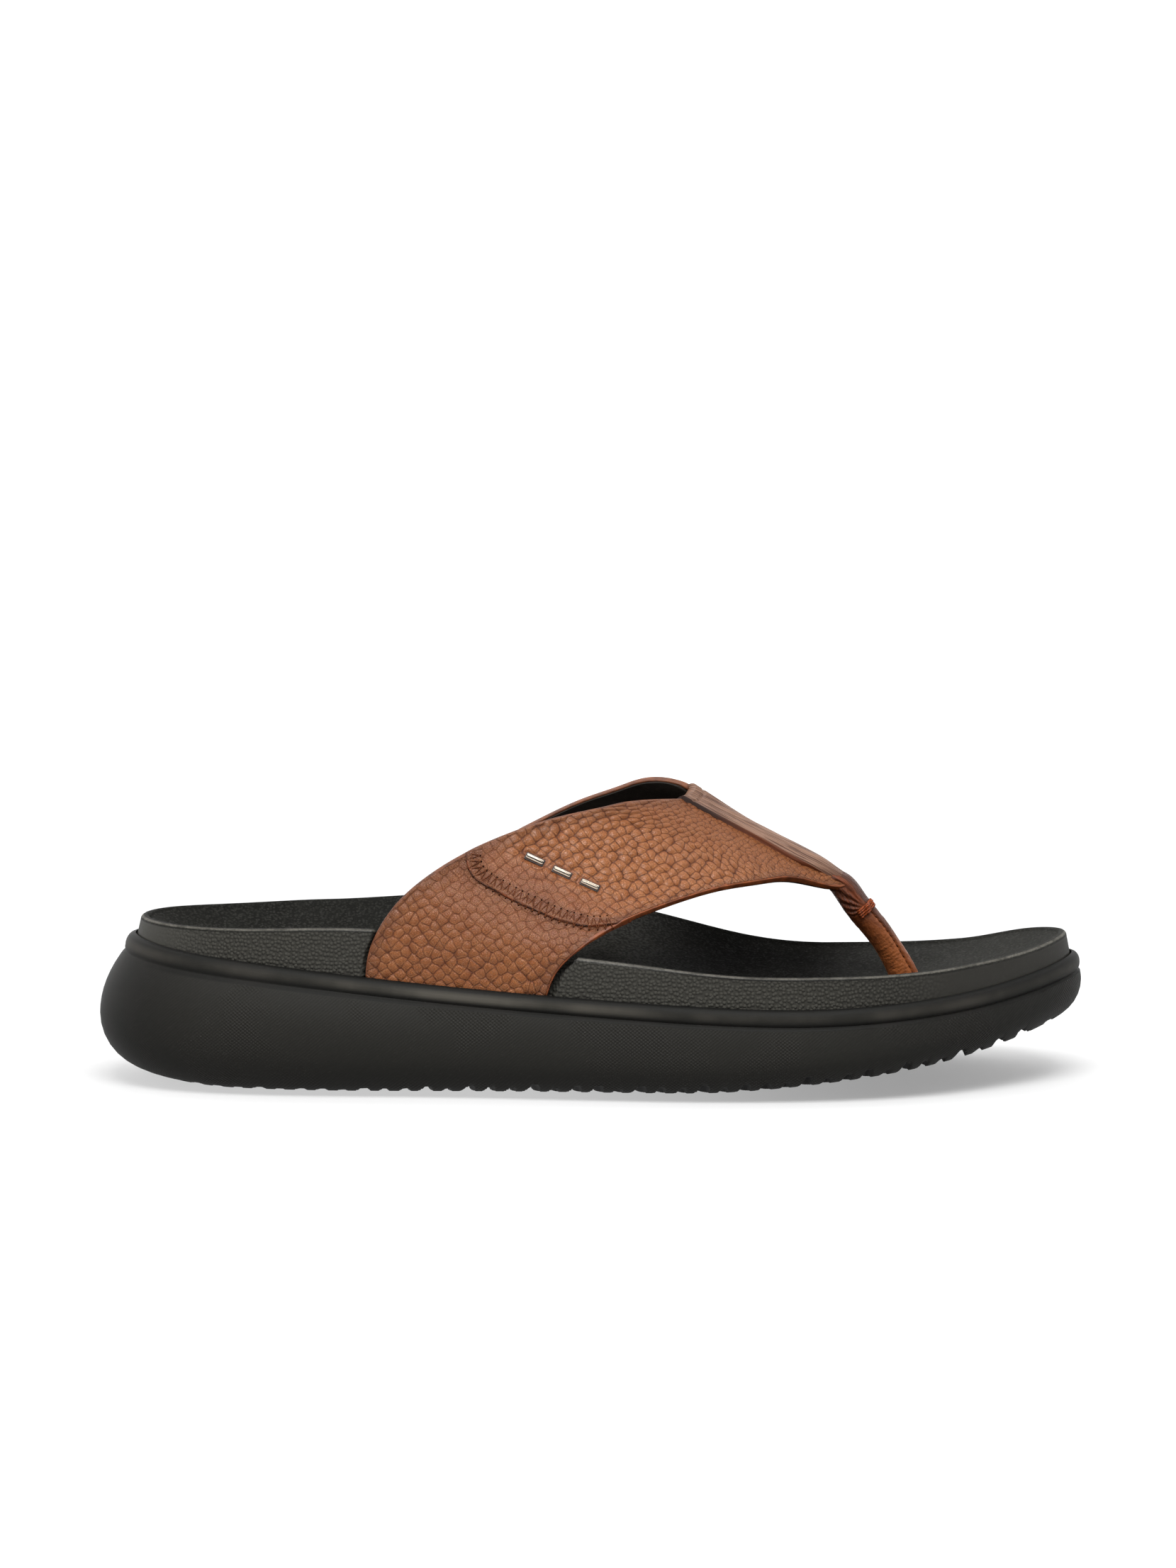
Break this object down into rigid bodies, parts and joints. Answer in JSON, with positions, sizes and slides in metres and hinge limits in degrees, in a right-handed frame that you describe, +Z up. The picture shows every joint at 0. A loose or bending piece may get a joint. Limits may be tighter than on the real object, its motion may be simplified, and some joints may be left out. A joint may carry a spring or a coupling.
{
  "type": "leather sandal",
  "caption": "Open right-foot leather sandal: thick moulded sole, dished footbed, two wide straps joined over the instep and a toe post.",
  "frame": {"origin": "centre of the sandal's bounding box, on the plane the tread stands on", "axes": "+X from heel to toe, +Y from the outer (little toe) side to the inner (great toe) side, +Z up"},
  "size_m": [0.29, 0.108, 0.0874],
  "materials": {
    "sole_foam": "matt moulded foam with a fine knurl on the side wall",
    "footbed_skin": "black moulded foam with a pebbled wall and a leather-like grain on top",
    "strap_leather": "brown tumbled leather with a coarse pebble grain",
    "strip_leather": "brown leather with fine lengthwise creases",
    "post_leather": "dark brown thin leather, folded and wrinkled",
    "lining": "black lining on the inside of the straps",
    "cut_edge": "orange-brown finished cut edge",
    "thread": "brown sewing thread",
    "bar_metal": "polished pale metal"
  },
  "bodies": {
    "root": {"sole": "sole_foam", "footbed": "footbed_skin", "upper": "strap_leather", "ridge_strip": "strip_leather", "toe_post": "post_leather", "metal_bar_1": "bar_metal", "metal_bar_2": "bar_metal", "metal_bar_3": "bar_metal"}
  },
  "joints": []
}
